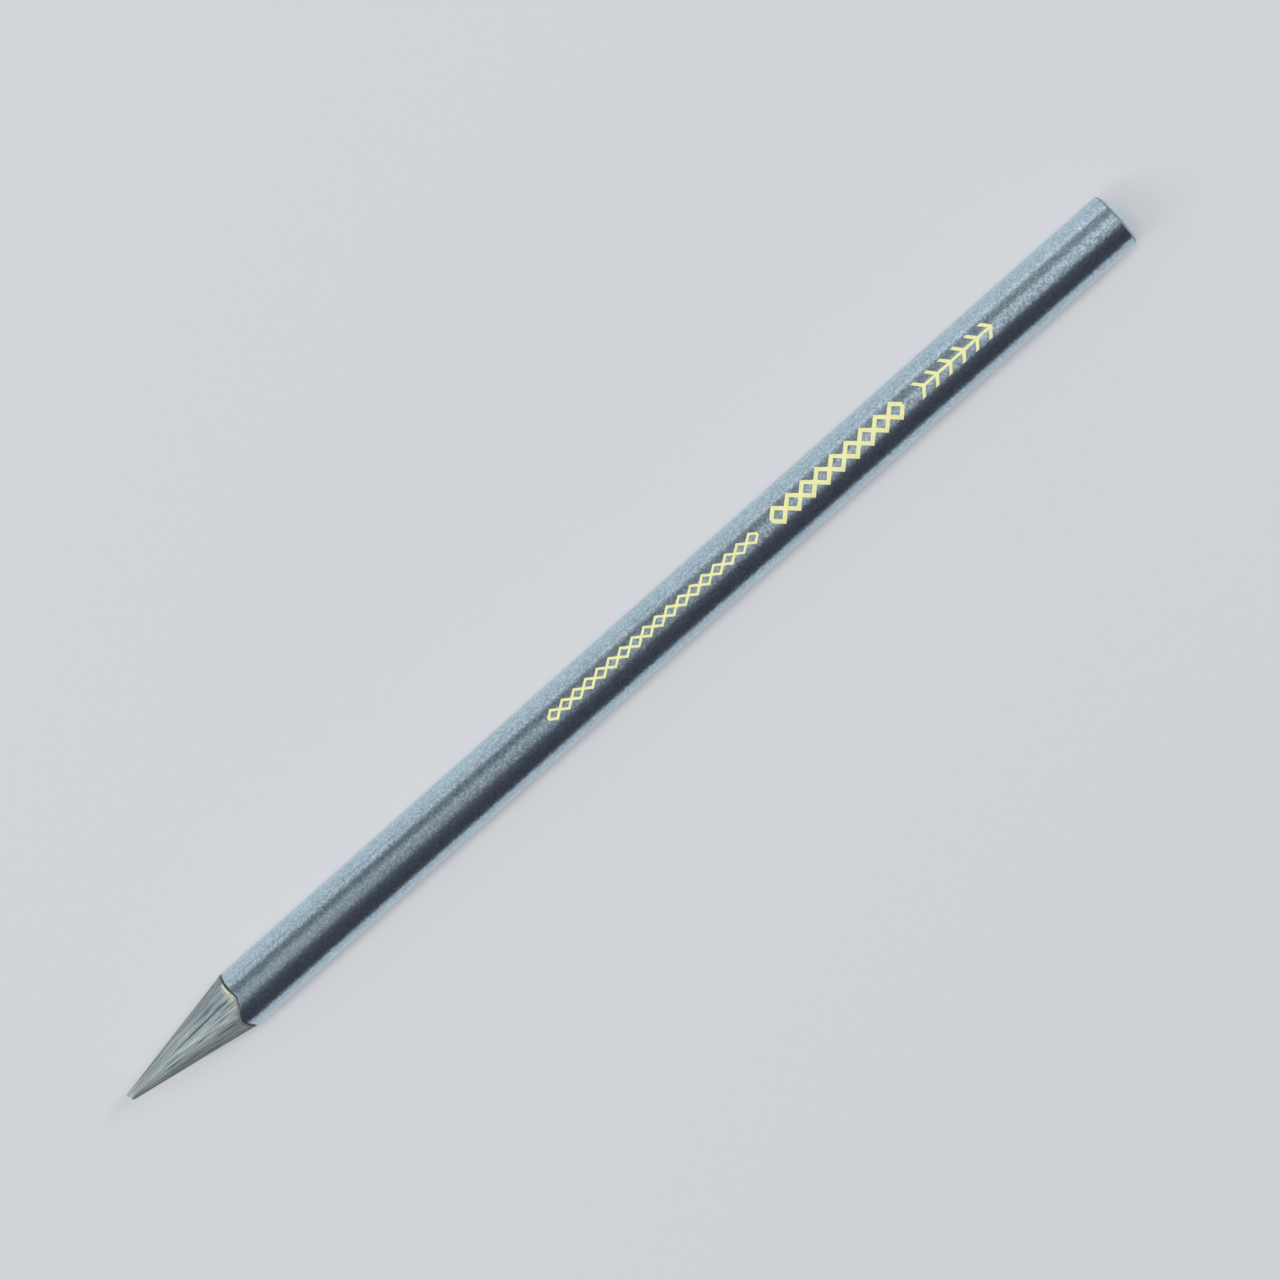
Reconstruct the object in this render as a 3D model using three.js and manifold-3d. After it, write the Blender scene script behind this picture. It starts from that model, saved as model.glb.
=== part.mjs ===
// A woodless graphite pencil. It is a solid rod of fired graphite, sharpened to a point at one end and
// domed at the other, sealed by an undercoat and a metallic lacquer. The domed end is dipped, and three
// bands of foil ornament are hot-stamped on the lacquer.
//
// Millimetres, +Z up. The pencil lies along X with its point towards -X. The origin is on the surface
// that it lies on, below the middle of its length. Angles round the axis run from the top towards -Y.

import * as THREE from "three";
import { mergeVertices } from "three/addons/utils/BufferGeometryUtils.js";
import Module from "manifold-3d";

const wasm = await Module();
wasm.setup();

// The finished pencil.
const PENCIL_LENGTH = 150; // from the flat of the point to the crown of the dome
const BARREL_DIAMETER = 7.1; // over the lacquer
const BARREL_FLATS = 48; // the round barrel is drawn with this many narrow flats

// The coats on the graphite.
const UNDERCOAT_WALL = 0.05;
const LACQUER_WALL = 0.05;
const DIP_WALL = 0.15; // at the crown of the dome
const FOIL_WALL = 0.02;

// The point. The sharpener's cone is a little off centre, so the coats' front edge runs in a wave.
const POINT_ANGLE = 20.8; // degrees, the full angle of the cone
const POINT_FLAT_DIAMETER = 0.9; // the blunt end that writes
const POINT_OFF_CENTRE = 0.1;
const POINT_OFF_CENTRE_ROLL = 30; // degrees round the axis, to where the cone cuts least

// The domed end.
const DOME_HEIGHT = 1.2;
const DOME_STEPS = 8;

// The foil bands, from the back end forwards: chevrons, lozenges and a fine chain.
const FOIL_ROLL = -17; // degrees round the axis, to the middle line of the bands
const FOIL_BACK_MARGIN = 19.6; // from the crown of the dome to the chevrons
const FOIL_BAND_GAP = 2;

const CHEVRON_COUNT = 6;
const CHEVRON_PITCH = 2;
const CHEVRON_HEIGHT = 2.2;
const CHEVRON_STROKE = 0.5;
const CHEVRON_RAKE = 0.9; // how far a chevron's tip leads the ends of its arms
const CHEVRON_SPINE = 0.3; // the height of the line that strings them together

const LOZENGE_COUNT = 9;
const LOZENGE_PITCH = 2.2;
const LOZENGE_HEIGHT = 2.7;
const LOZENGE_STROKE = 0.42;

const CHAIN_COUNT = 18;
const CHAIN_PITCH = 1.75;
const CHAIN_HEIGHT = 1.6;
const CHAIN_STROKE = 0.26;

// Radii, from the finished size inwards.
const barrelRadius = BARREL_DIAMETER / 2;
const undercoatRadius = barrelRadius - LACQUER_WALL;
const coreRadius = undercoatRadius - UNDERCOAT_WALL;
const foilRadius = barrelRadius + FOIL_WALL;
const pointFlatRadius = POINT_FLAT_DIAMETER / 2;

// Stations along the axis.
const crownX = PENCIL_LENGTH / 2;
const pointX = -crownX;
const domeX = crownX - DOME_HEIGHT;
const pointSlope = Math.tan(THREE.MathUtils.degToRad(POINT_ANGLE / 2));
const coneX = (radius) => pointX + (radius - pointFlatRadius) / pointSlope;

const chevronsLength = (CHEVRON_COUNT - 1) * CHEVRON_PITCH + CHEVRON_RAKE + CHEVRON_STROKE;
const lozengesLength = LOZENGE_COUNT * LOZENGE_PITCH;
const chainLength = CHAIN_COUNT * CHAIN_PITCH;
const chevronsX = crownX - FOIL_BACK_MARGIN - chevronsLength;
const lozengesX = chevronsX - FOIL_BAND_GAP - lozengesLength;
const chainX = lozengesX - FOIL_BAND_GAP - chainLength;

// A body of revolution round the X axis, from a profile of [x, radius] points. Radii are measured to
// the middle of a flat, and one flat faces straight down.
function turned(profile) {
  const cornerShare = 1 / Math.cos(Math.PI / BARREL_FLATS);
  const points = profile.map(([x, radius]) => new THREE.Vector2(radius * cornerShare, x));
  const geometry = new THREE.LatheGeometry(points, BARREL_FLATS, Math.PI / BARREL_FLATS);
  return geometry.rotateZ(-Math.PI / 2);
}

// The profile of the domed end, from its crown on the axis to its foot at domeX.
function domeProfile(footRadius, height) {
  const sphereRadius = (footRadius ** 2 + height ** 2) / (2 * height);
  const centreX = domeX + height - sphereRadius;
  const footAngle = Math.asin(footRadius / sphereRadius);
  return Array.from({ length: DOME_STEPS + 1 }, (_, step) => {
    const angle = (footAngle * step) / DOME_STEPS;
    return [centreX + sphereRadius * Math.cos(angle), sphereRadius * Math.sin(angle)];
  });
}

// Moves the centred cone at the front of a turned piece off centre. The flat of the point goes
// sideways with the cone, and the edges where the cone ends slide along the round of the rod.
function sharpened(geometry) {
  const coneRoll = THREE.MathUtils.degToRad(POINT_OFF_CENTRE_ROLL);
  const halfwayUpConeX = (pointX + coneX(coreRadius)) / 2;
  const position = geometry.getAttribute("position");
  for (let i = 0; i < position.count; i++) {
    const [x, y, z] = [position.getX(i), position.getY(i), position.getZ(i)];
    if (x < halfwayUpConeX) {
      position.setY(i, y - POINT_OFF_CENTRE * Math.sin(coneRoll));
      position.setZ(i, z + POINT_OFF_CENTRE * Math.cos(coneRoll));
    } else if (x < 0) {
      const roll = Math.atan2(-y, z);
      position.setX(i, x - (POINT_OFF_CENTRE * Math.cos(roll - coneRoll)) / pointSlope);
    }
  }
  return geometry;
}

// The graphite: the flat of the point, the cone, the rod and the domed end.
function graphiteCore() {
  const dome = domeProfile(coreRadius, DOME_HEIGHT - DIP_WALL);
  return sharpened(
    turned([[pointX, 0], [pointX, pointFlatRadius], [coneX(coreRadius), coreRadius], ...dome.reverse()]),
  );
}

// A coat round the rod, from the cone to the foot of the dome.
function coat(innerRadius, outerRadius) {
  return sharpened(
    turned([
      [coneX(innerRadius), innerRadius],
      [coneX(outerRadius), outerRadius],
      [domeX, outerRadius],
      [domeX, innerRadius],
      [coneX(innerRadius), innerRadius],
    ]),
  );
}

// The dipped coat on the domed end, which also closes the ends of the two coats.
function endDip() {
  const inside = domeProfile(coreRadius, DOME_HEIGHT - DIP_WALL);
  const outside = domeProfile(barrelRadius, DOME_HEIGHT);
  return turned([...inside, ...outside.reverse()]);
}

// A closed geometry as a manifold-3d solid, and back.
function solidOf(geometry) {
  const bare = geometry.clone();
  bare.deleteAttribute("normal");
  bare.deleteAttribute("uv");
  const merged = mergeVertices(bare);
  const vertProperties = new Float32Array(merged.getAttribute("position").array);
  const triVerts = new Uint32Array(merged.getIndex().array);
  return new wasm.Manifold(new wasm.Mesh({ numProp: 3, vertProperties, triVerts }));
}

function geometryOf(solid) {
  const mesh = solid.getMesh();
  const geometry = new THREE.BufferGeometry();
  geometry.setAttribute("position", new THREE.BufferAttribute(mesh.vertProperties, 3));
  geometry.setIndex(new THREE.BufferAttribute(mesh.triVerts, 1));
  geometry.computeVertexNormals();
  return geometry;
}

// A flat outline, from [x, y] points in order round it.
function outlineOf(points) {
  return new THREE.Shape(points.map(([x, y]) => new THREE.Vector2(x, y)));
}

// Foil on the lacquer. A straight die, cut to the outlines, presses a wrap of foil from above. The
// outlines have X along the pencil, from startX, and Y across it.
function stamped(outlines, startX, length) {
  const foilWrap = turned([
    [startX, barrelRadius],
    [startX, foilRadius],
    [startX + length, foilRadius],
    [startX + length, barrelRadius],
    [startX, barrelRadius],
  ]);
  const die = outlines
    .map((outline) => new THREE.ExtrudeGeometry(outline, { depth: BARREL_DIAMETER, bevelEnabled: false }))
    .map((stroke) => stroke.translate(startX, 0, 0).rotateX(THREE.MathUtils.degToRad(FOIL_ROLL)))
    .map(solidOf)
    .reduce((joined, stroke) => joined.add(stroke));
  return geometryOf(solidOf(foilWrap).intersect(die));
}

// A zigzag of one stroke through a chain of lozenges. It starts and ends on the middle line, and its
// first corner is above it where side is 1 and below it where side is -1.
function zigzag(count, pitch, height, stroke, side) {
  const halfRise = (stroke / 2) * Math.hypot(1, height / pitch);
  const swing = height / 2 - halfRise;
  const corners = Array.from({ length: count }, (_, i) => [(i + 0.5) * pitch, side * swing * (-1) ** i]);
  const path = [[0, 0], ...corners, [count * pitch, 0]];
  const lower = path.map(([x, y]) => [x, y - halfRise]);
  const upper = path.map(([x, y]) => [x, y + halfRise]);
  return outlineOf([...lower, ...upper.reverse()]);
}

// A chain of open lozenges, drawn by two zigzags that cross.
function lozengeChain(count, pitch, height, stroke) {
  return [zigzag(count, pitch, height, stroke, 1), zigzag(count, pitch, height, stroke, -1)];
}

// Chevrons that point to the back end, strung on a thin spine from the first tip to the last.
function chevronRow() {
  const arm = CHEVRON_HEIGHT / 2;
  const spine = CHEVRON_SPINE / 2;
  const firstTipX = CHEVRON_RAKE;
  const lastTipX = chevronsLength - CHEVRON_STROKE;
  const chevrons = Array.from({ length: CHEVRON_COUNT }, (_, i) => {
    const armX = i * CHEVRON_PITCH;
    const tipX = armX + CHEVRON_RAKE;
    return outlineOf([
      [armX, -arm],
      [armX + CHEVRON_STROKE, -arm],
      [tipX + CHEVRON_STROKE, 0],
      [armX + CHEVRON_STROKE, arm],
      [armX, arm],
      [tipX, 0],
    ]);
  });
  return [
    outlineOf([[firstTipX, -spine], [lastTipX, -spine], [lastTipX, spine], [firstTipX, spine]]),
    ...chevrons,
  ];
}

// A named part with its finish.
function part(name, geometry, color, roughness, metalness) {
  const mesh = new THREE.Mesh(geometry, new THREE.MeshStandardMaterial({ color, roughness, metalness }));
  mesh.name = name;
  return mesh;
}

// A foil band, with the finish that all of them share.
function foilBand(name, outlines, startX, length) {
  return part(name, stamped(outlines, startX, length), 0xf0e89a, 0.5, 0.1);
}

const chain = lozengeChain(CHAIN_COUNT, CHAIN_PITCH, CHAIN_HEIGHT, CHAIN_STROKE);
const lozenges = lozengeChain(LOZENGE_COUNT, LOZENGE_PITCH, LOZENGE_HEIGHT, LOZENGE_STROKE);

const pencil = new THREE.Group();
pencil.name = "woodless_pencil";
pencil.position.z = barrelRadius;
pencil.add(
  part("graphite_core", graphiteCore(), 0x7b868b, 0.45, 0.5),
  part("undercoat", coat(coreRadius, undercoatRadius), 0xc9c6a6, 0.7, 0),
  part("lacquer_coat", coat(undercoatRadius, barrelRadius), 0x6c8494, 0.3, 0.8),
  part("end_dip", endDip(), 0x8ba3ae, 0.3, 0.6),
  foilBand("foil_chain", chain, chainX, chainLength),
  foilBand("foil_lozenges", lozenges, lozengesX, lozengesLength),
  foilBand("foil_chevrons", chevronRow(), chevronsX, chevronsLength),
);

export default pencil;
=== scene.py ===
"""The looks of a woodless graphite pencil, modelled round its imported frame.

The pencil lies along X with its point towards -X, +Z is up, and the origin is on the floor below the
middle of its length. Lengths are in metres, and finishes work in millimetres. Rolls are angles round
the pencil's axis, in radians, from the top towards -Y.
"""

import logging
import math
from dataclasses import dataclass
from enum import Enum

import bmesh
import bpy
from mathutils import Matrix, Vector, noise


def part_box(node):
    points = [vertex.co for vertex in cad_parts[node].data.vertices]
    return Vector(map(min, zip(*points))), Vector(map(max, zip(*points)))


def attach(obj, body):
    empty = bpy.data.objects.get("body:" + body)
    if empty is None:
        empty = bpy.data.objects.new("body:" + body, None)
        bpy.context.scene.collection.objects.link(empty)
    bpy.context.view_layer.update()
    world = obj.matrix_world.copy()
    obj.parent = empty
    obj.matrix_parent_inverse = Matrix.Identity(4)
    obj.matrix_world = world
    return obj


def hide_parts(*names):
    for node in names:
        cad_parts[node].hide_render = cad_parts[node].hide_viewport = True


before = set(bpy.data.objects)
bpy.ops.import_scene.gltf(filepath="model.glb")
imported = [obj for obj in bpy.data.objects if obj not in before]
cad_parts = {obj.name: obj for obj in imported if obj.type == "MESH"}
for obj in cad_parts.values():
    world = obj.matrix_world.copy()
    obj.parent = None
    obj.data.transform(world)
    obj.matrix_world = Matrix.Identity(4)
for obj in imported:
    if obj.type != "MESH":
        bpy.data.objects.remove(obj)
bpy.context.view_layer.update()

MM = 0.001
TURN_STEPS = 256
DOME_STEPS = 16  # in the graphite's dome; the dipped coat's has twice as many
WELD = 1e-7
ON_RING = WELD * 10  # how near to a ring its corners lie
SHARP_ANGLE = math.radians(32)
SLEEVE_SHARP_ANGLE = math.radians(8)  # keeps the normals of a sleeve's ends off its long faces
STRIP_DISTANCE = 1.2  # from the pencil to a strip of light
STRIP_LENGTH = 1.0  # a lamp wider than this faces the axis squarely

Colour = tuple[float, float, float, float]
Values = dict[str | int, object] | None

log = logging.getLogger("pencil")


def screen_colour(red: int, green: int, blue: int) -> Colour:
    """Turn a colour as a screen shows it into a shader colour.

    Args:
        red: Red, from 0 to 255.
        green: Green, from 0 to 255.
        blue: Blue, from 0 to 255.

    Returns:
        The linear colour, with an alpha of 1.
    """
    shares = [channel / 255 for channel in (red, green, blue)]
    linear = [
        share / 12.92 if share <= 0.04045 else ((share + 0.055) / 1.055) ** 2.4 for share in shares
    ]
    return (*linear, 1.0)


@dataclass(frozen=True)
class PencilSizes:
    """The pencil's main sizes, as the frame gives them.

    Attributes:
        axis_z: Height of the axis above the floor.
        barrel_radius: Radius over the lacquer.
        undercoat_radius: Radius over the undercoat.
        core_radius: Radius of the graphite rod.
        point_x: Where the point ends.
        dome_x: Where the dome starts.
        core_crown_x: Where the graphite's dome ends.
        crown_x: Where the dipped dome ends.
    """

    axis_z: float
    barrel_radius: float
    undercoat_radius: float
    core_radius: float
    point_x: float
    dome_x: float
    core_crown_x: float
    crown_x: float

    @classmethod
    def from_frame(cls) -> "PencilSizes":
        """Read the sizes from the boxes of the frame's nodes.

        Returns:
            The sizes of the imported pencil.
        """
        core_low, core_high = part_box("graphite_core")
        undercoat_low, undercoat_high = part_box("undercoat")
        lacquer_low, lacquer_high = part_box("lacquer_coat")
        return cls(
            axis_z=(lacquer_low.z + lacquer_high.z) / 2,
            barrel_radius=(lacquer_high.y - lacquer_low.y) / 2,
            undercoat_radius=(undercoat_high.y - undercoat_low.y) / 2,
            core_radius=(core_high.y - core_low.y) / 2,
            point_x=core_low.x,
            dome_x=lacquer_high.x,
            core_crown_x=core_high.x,
            crown_x=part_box("end_dip")[1].x,
        )

    def roll(self, place: Vector) -> float:
        """Give the roll of a place round the axis."""
        return math.atan2(-place.y, place.z - self.axis_z)

    def radius(self, place: Vector) -> float:
        """Give the distance of a place from the axis."""
        return math.hypot(place.y, place.z - self.axis_z)

    def at(self, x: float, radius: float, roll: float) -> Vector:
        """Give the place at a station, a radius and a roll."""
        return Vector((x, -radius * math.sin(roll), self.axis_z + radius * math.cos(roll)))


@dataclass(frozen=True)
class Tongue:
    """A stretch of the coats' front edge that lies before or behind the plain cut.

    Attributes:
        roll: Its middle.
        reach: How far it goes towards the point.
        spread: How wide it is, to either side.
    """

    roll: float
    reach: float
    spread: float

    def at(self, roll: float) -> float:
        """Give its reach at a roll."""
        away = math.remainder(roll - self.roll, math.tau)
        return self.reach * math.exp(-((away / self.spread) ** 2))


@dataclass(frozen=True)
class SharpenedCone:
    """The cone that the sharpener cut, a little off centre.

    Attributes:
        sizes: The pencil's sizes.
        full_angle: The full angle of the cone.
        flat_radius: Radius of the blunt end that writes.
        off_centre: How far its axis lies from the pencil's.
        off_centre_roll: Where to.
        tongues: Where the coats' edge strays from a plain cut.
        jag: How ragged the lacquer's edge is.
        jags_per_turn: How fine the rags are, as a noise scale.
    """

    sizes: PencilSizes
    full_angle: float = math.radians(20.8)
    flat_radius: float = 0.45 * MM
    off_centre: float = 0.1 * MM
    off_centre_roll: float = math.radians(30)
    tongues: tuple[Tongue, ...] = (
        Tongue(math.radians(-15), -0.45 * MM, math.radians(22)),
        Tongue(math.radians(28), 0.62 * MM, math.radians(22)),
        Tongue(math.radians(65), 0.1 * MM, math.radians(20)),
        Tongue(math.radians(120), 0.35 * MM, math.radians(25)),
        Tongue(math.radians(-160), -0.3 * MM, math.radians(30)),
        Tongue(math.radians(-110), 0.2 * MM, math.radians(20)),
    )
    jag: float = 0.07 * MM
    jags_per_turn: float = 9.0

    @property
    def slope(self) -> float:
        """How fast the radius grows along the axis."""
        return math.tan(self.full_angle / 2)

    @property
    def middle(self) -> Vector:
        """Where the cone's axis passes, in the plane across the pencil."""
        return self.sizes.at(0, self.off_centre, self.off_centre_roll)

    def plain_x(self, radius: float) -> float:
        """Give the station at which a centred cone reaches a radius."""
        return self.sizes.point_x + (radius - self.flat_radius) / self.slope

    def edge_x(self, radius: float, roll: float) -> float:
        """Find where the cone's cut ends on a layer of the pencil.

        Args:
            radius: The layer's radius.
            roll: The roll at which it is wanted.

        Returns:
            The station of the layer's edge.
        """
        leaning = self.off_centre * math.cos(roll - self.off_centre_roll) / self.slope
        strays = sum(tongue.at(roll) for tongue in self.tongues)
        depth = (radius - self.sizes.core_radius) / (self.sizes.barrel_radius - self.sizes.core_radius)
        spot = Vector((math.cos(roll), math.sin(roll), 0.2 * depth)) * self.jags_per_turn
        rags = self.jag * (0.25 + 0.75 * depth) * (noise.noise(spot) + 0.6 * noise.noise(spot * 3.1))
        return self.plain_x(radius) - leaning - strays + rags

    def edge(self, radius: float, roll: float) -> Vector:
        """Give the place of a layer's front edge at a roll."""
        return self.sizes.at(self.edge_x(radius, roll), radius, roll)


def turned(
    sizes: PencilSizes,
    profile: list[tuple[float, float]],
    cuts: dict[int, int],
    closed: bool = False,
) -> bmesh.types.BMesh:
    """Turn a profile round the pencil's axis.

    Args:
        sizes: The pencil's sizes.
        profile: The profile's corners, as stations and radii.
        cuts: How many more rings a stretch of the profile gets, by the stretch's number.
        closed: Whether the profile closes on itself.

    Returns:
        The turned shape, with its faces pointing out.
    """
    shape = bmesh.new()
    corners = [shape.verts.new((x, 0, sizes.axis_z + radius)) for x, radius in profile]
    ends = corners[1:] + corners[:1] if closed else corners[1:]
    stretches = [shape.edges.new(pair) for pair in zip(corners, ends)]
    for number, rings in cuts.items():
        bmesh.ops.subdivide_edges(shape, edges=[stretches[number]], cuts=rings)
    bmesh.ops.spin(
        shape,
        geom=shape.verts[:] + shape.edges[:],
        cent=(0, 0, sizes.axis_z),
        axis=(1, 0, 0),
        angle=math.tau,
        steps=TURN_STEPS,
        use_merge=True,
    )
    bmesh.ops.remove_doubles(shape, verts=shape.verts[:], dist=WELD)
    bmesh.ops.recalc_face_normals(shape, faces=shape.faces[:])
    return shape


def dome_profile(
    sizes: PencilSizes, foot_radius: float, crown_x: float, steps: int
) -> list[tuple[float, float]]:
    """Draw the arc of the domed end.

    Args:
        sizes: The pencil's sizes.
        foot_radius: Radius at the dome's foot.
        crown_x: Where the arc meets the axis.
        steps: How many stretches the arc gets.

    Returns:
        Stations and radii from the foot to the crown.
    """
    height = crown_x - sizes.dome_x
    sphere_radius = (foot_radius**2 + height**2) / (2 * height)
    foot_angle = math.asin(foot_radius / sphere_radius)
    angles = [foot_angle * (1 - step / steps) for step in range(steps + 1)]
    centre_x = crown_x - sphere_radius
    return [
        (centre_x + sphere_radius * math.cos(angle), sphere_radius * math.sin(angle))
        for angle in angles
    ]


def round_foot(shape: bmesh.types.BMesh, sizes: PencilSizes, width: float, segments: int) -> None:
    """Round a coat off on the ring where the barrel meets the domed end.

    Args:
        shape: The coat's shape.
        sizes: The pencil's sizes.
        width: How far the rounding reaches to either side.
        segments: How many facets it gets.
    """

    def on_ring(corner: bmesh.types.BMVert) -> bool:
        """Tell whether a corner lies on the ring."""
        off_radius = abs(sizes.radius(corner.co) - sizes.barrel_radius)
        return abs(corner.co.x - sizes.dome_x) < ON_RING and off_radius < ON_RING

    bmesh.ops.bevel(
        shape,
        geom=[edge for edge in shape.edges if all(on_ring(corner) for corner in edge.verts)],
        offset=width,
        offset_type="OFFSET",
        segments=segments,
        profile=0.5,
        affect="EDGES",
        material=-1,
    )


def add_piece(
    name: str,
    shape: bmesh.types.BMesh,
    finish: bpy.types.Material,
    node: str,
    sharp_angle: float = SHARP_ANGLE,
) -> None:
    """Make a finished piece of the pencil that stands for a node of the frame.

    Args:
        name: The piece's name.
        shape: Its shape, in place, which is freed.
        finish: Its material.
        node: The node that it replaces.
        sharp_angle: The angle from which an edge is shaded sharp.
    """
    mesh = bpy.data.meshes.new(name)
    shape.to_mesh(mesh)
    shape.free()
    mesh.shade_smooth()
    mesh.set_sharp_from_angle(angle=sharp_angle)
    mesh.materials.append(finish)
    piece = bpy.data.objects.new(name, mesh)
    bpy.context.scene.collection.objects.link(piece)
    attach(piece, "root")
    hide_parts(node)
    log.info("%s stands for %s, with %d faces", name, node, len(mesh.polygons))


class Signal:
    """A value in a finish, which arithmetic extends with Math nodes."""

    def __init__(self, board: "Board", socket: bpy.types.NodeSocket) -> None:
        """Wrap an output socket of a node on the board."""
        self.board = board
        self.socket = socket

    def _math(self, operation: str, first: "Signal | float", second: "Signal | float") -> "Signal":
        """Join two values with a Math node."""
        return self.board.node("ShaderNodeMath", {"operation": operation}, {0: first, 1: second})

    def __add__(self, other: "Signal | float") -> "Signal":
        """Add a value."""
        return self._math("ADD", self, other)

    __radd__ = __add__

    def __sub__(self, other: "Signal | float") -> "Signal":
        """Subtract a value."""
        return self._math("SUBTRACT", self, other)

    def __rsub__(self, other: float) -> "Signal":
        """Subtract from a number."""
        return self._math("SUBTRACT", other, self)

    def __mul__(self, other: "Signal | float") -> "Signal":
        """Multiply by a value."""
        return self._math("MULTIPLY", self, other)

    __rmul__ = __mul__

    def __truediv__(self, other: "Signal | float") -> "Signal":
        """Divide by a value."""
        return self._math("DIVIDE", self, other)

    def __pow__(self, other: float) -> "Signal":
        """Raise to a power."""
        return self._math("POWER", self, other)

    def ease(self, low: float, high: float) -> "Signal":
        """Ease the value from 0 at low to 1 at high, which may be the smaller of the two."""
        settings = {"interpolation_type": "SMOOTHSTEP"}
        return self.board.node("ShaderNodeMapRange", settings, {0: self, 1: low, 2: high})


class Board:
    """A node tree on which a finish or the surroundings are wired up."""

    def __init__(self, owner: bpy.types.ID) -> None:
        """Clear the node tree of a material or a world.

        Args:
            owner: The material or the world.
        """
        owner.use_nodes = True
        self.tree = owner.node_tree
        self.tree.nodes.clear()

    def add(self, kind: str, settings: Values = None, sockets: Values = None) -> bpy.types.Node:
        """Add a node.

        Args:
            kind: The node's type.
            settings: Its properties, which are set first.
            sockets: Its inputs, each a Signal to link or a value.

        Returns:
            The node.
        """
        made = self.tree.nodes.new(kind)
        for name, value in (settings or {}).items():
            setattr(made, name, value)
        for name, value in (sockets or {}).items():
            if isinstance(value, Signal):
                self.tree.links.new(value.socket, made.inputs[name])
            else:
                made.inputs[name].default_value = value
        return made

    def node(
        self, kind: str, settings: Values = None, sockets: Values = None, output: str | int = 0
    ) -> Signal:
        """Add a node, and give the wanted one of its outputs."""
        return Signal(self, self.add(kind, settings, sockets).outputs[output])

    def millimetres(self, middle: Vector) -> Signal:
        """Give the place on the pencil, in millimetres.

        Args:
            middle: What it is measured from, in metres.

        Returns:
            The place, as a vector.
        """
        place = self.node("ShaderNodeTexCoord", output="Object")
        sockets = {"Vector": place, "Location": -middle / MM, "Scale": (1 / MM, 1 / MM, 1 / MM)}
        return self.node("ShaderNodeMapping", None, sockets)

    def parts(self, vector: Signal) -> tuple[Signal, Signal, Signal]:
        """Split a vector into its X, Y and Z."""
        split = self.add("ShaderNodeSeparateXYZ", None, {0: vector})
        return tuple(Signal(self, socket) for socket in split.outputs)

    def joined(self, x: Signal | float, y: Signal | float, z: Signal | float) -> Signal:
        """Make a vector from its X, Y and Z."""
        return self.node("ShaderNodeCombineXYZ", None, {0: x, 1: y, 2: z})

    def vector_math(self, operation: str, first: object, second: object) -> Signal:
        """Join two vectors with a Vector Math node."""
        return self.node("ShaderNodeVectorMath", {"operation": operation}, {0: first, 1: second})

    def polar(self, place: Signal) -> tuple[Signal, Signal, Signal, Signal]:
        """Give a place in terms of the axis.

        Args:
            place: The place, from a point on the axis.

        Returns:
            The distance along the axis, the radius, and the Y and Z of the direction from the axis.
        """
        along, y, z = self.parts(place)
        radius = (y * y + z * z) ** 0.5
        return along, radius, y / radius, z / radius

    def noise(self, place: Signal, scale: float, detail: float = 2, roughness: float = 0.5) -> Signal:
        """Give a noise, from about -0.5 to 0.5, with detail as its octaves."""
        sockets = {"Vector": place, "Scale": scale, "Detail": detail, "Roughness": roughness}
        return self.node("ShaderNodeTexNoise", None, sockets) - 0.5

    def blend(self, share: Signal | float, first: Signal | Colour, second: Signal | Colour) -> Signal:
        """Mix two colours, where a share of 0 gives the first and 1 the second."""
        return self.node("ShaderNodeMix", {"data_type": "RGBA"}, {0: share, 6: first, 7: second}, 2)

    def shade(self, colour: Signal | Colour, factor: Signal) -> Signal:
        """Multiply a colour's channels by a factor."""
        start = colour if isinstance(colour, Signal) else colour[:3]
        return self.node("ShaderNodeVectorMath", {"operation": "SCALE"}, {0: start, "Scale": factor})

    def relief(self, height: Signal, depth: float, normal: Signal | None = None) -> Signal:
        """Turn a height into a normal.

        Args:
            height: The height, as a share of the depth.
            depth: The depth, in metres.
            normal: The normal that the relief is added to.

        Returns:
            The normal.
        """
        sockets = {"Strength": 1.0, "Distance": depth, "Height": height}
        if normal is not None:
            sockets["Normal"] = normal
        return self.node("ShaderNodeBump", None, sockets)


def facing(side: Signal, up: Signal, roll: float) -> Signal:
    """Give the cosine of the angle between a direction from the axis and a roll."""
    return side * math.sin(-roll) + up * math.cos(roll)


@dataclass(frozen=True)
class Finish:
    """A finish of the pencil.

    Attributes:
        name: The finish's name.
        middle: The point on the axis that its pattern is measured from.
    """

    name: str
    middle: Vector

    def surface(self, board: Board, place: Signal) -> dict[str, object]:
        """Wire up the finish, and give the shader's inputs."""
        raise NotImplementedError

    def build(self) -> bpy.types.Material:
        """Make the material.

        Returns:
            The material.
        """
        material = bpy.data.materials.new(self.name)
        board = Board(material)
        sockets = self.surface(board, board.millimetres(self.middle))
        shader = board.node("ShaderNodeBsdfPrincipled", None, sockets)
        board.add("ShaderNodeOutputMaterial", None, {"Surface": shader})
        return material


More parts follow.
